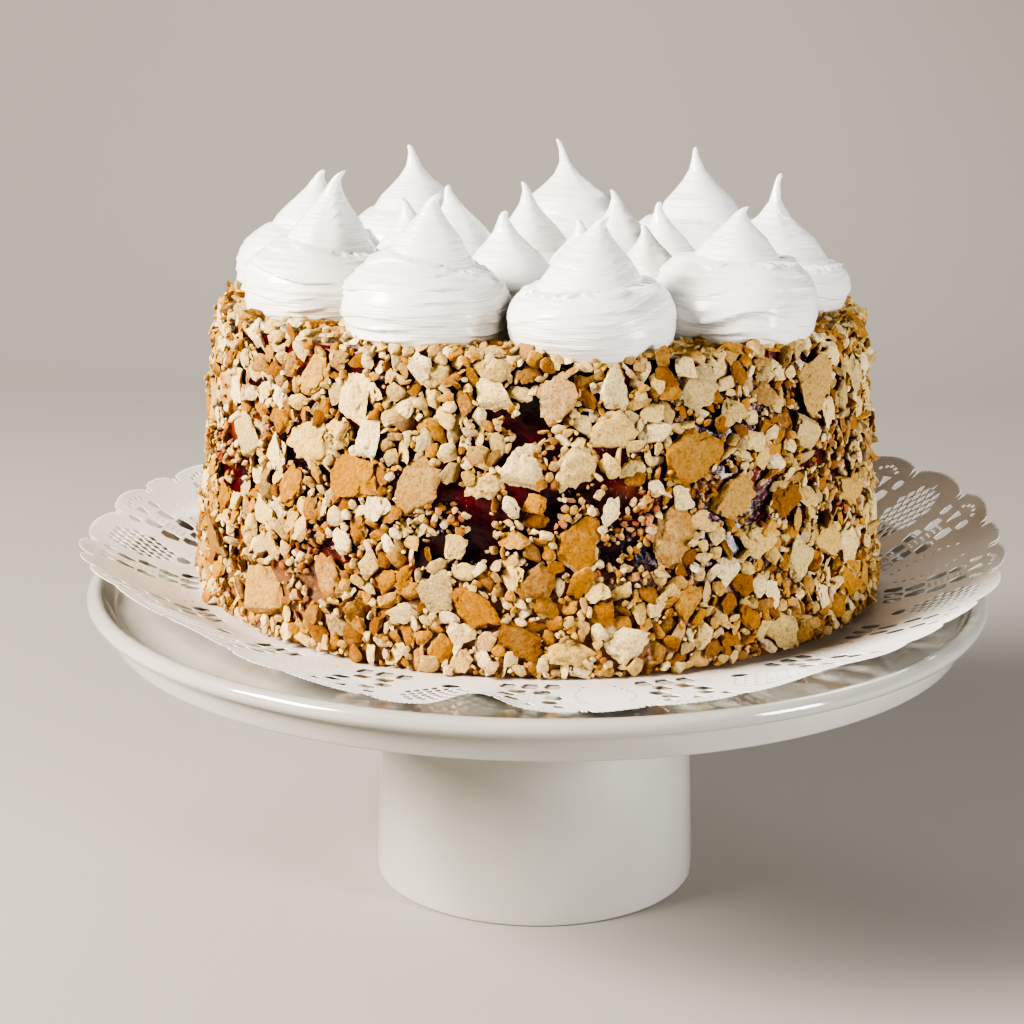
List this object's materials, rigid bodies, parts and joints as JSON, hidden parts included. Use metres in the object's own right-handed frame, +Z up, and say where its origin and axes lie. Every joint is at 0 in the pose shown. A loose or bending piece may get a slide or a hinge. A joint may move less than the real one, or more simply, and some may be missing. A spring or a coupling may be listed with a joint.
{
  "type": "pavlova",
  "caption": "Tall round cake coated in crushed meringue and biscuit over berry jam, crowned with piped meringue kisses, on a lace paper doily and a white footed cake stand.",
  "frame": {"origin": "bottom centre of the whole object's box, on the surface that the stand's foot rests on", "axes": "+Z up, -Y towards the viewer's side of the cake, +X to the viewer's right"},
  "size_m": [0.3344, 0.347, 0.2598],
  "materials": {
    "glazed_porcelain": "glossy white glaze",
    "lace_paper": "matt embossed paper",
    "crushed_meringue_and_biscuit": "dry matt crumbs over glossy jam",
    "berry_jam": "wet glossy jam",
    "piped_meringue": "satin glossy meringue"
  },
  "bodies": {
    "root": {"stand": "glazed_porcelain", "doily": "lace_paper", "cake": "crushed_meringue_and_biscuit", "kiss_01": "piped_meringue", "kiss_02": "piped_meringue", "kiss_03": "piped_meringue", "kiss_04": "piped_meringue", "kiss_05": "piped_meringue", "kiss_06": "piped_meringue", "kiss_07": "piped_meringue", "kiss_08": "piped_meringue", "kiss_09": "piped_meringue", "kiss_10": "piped_meringue", "kiss_11": "piped_meringue", "kiss_12": "piped_meringue", "kiss_13": "piped_meringue", "kiss_14": "piped_meringue", "kiss_15": "piped_meringue", "kiss_16": "piped_meringue", "kiss_17": "piped_meringue"}
  },
  "joints": []
}
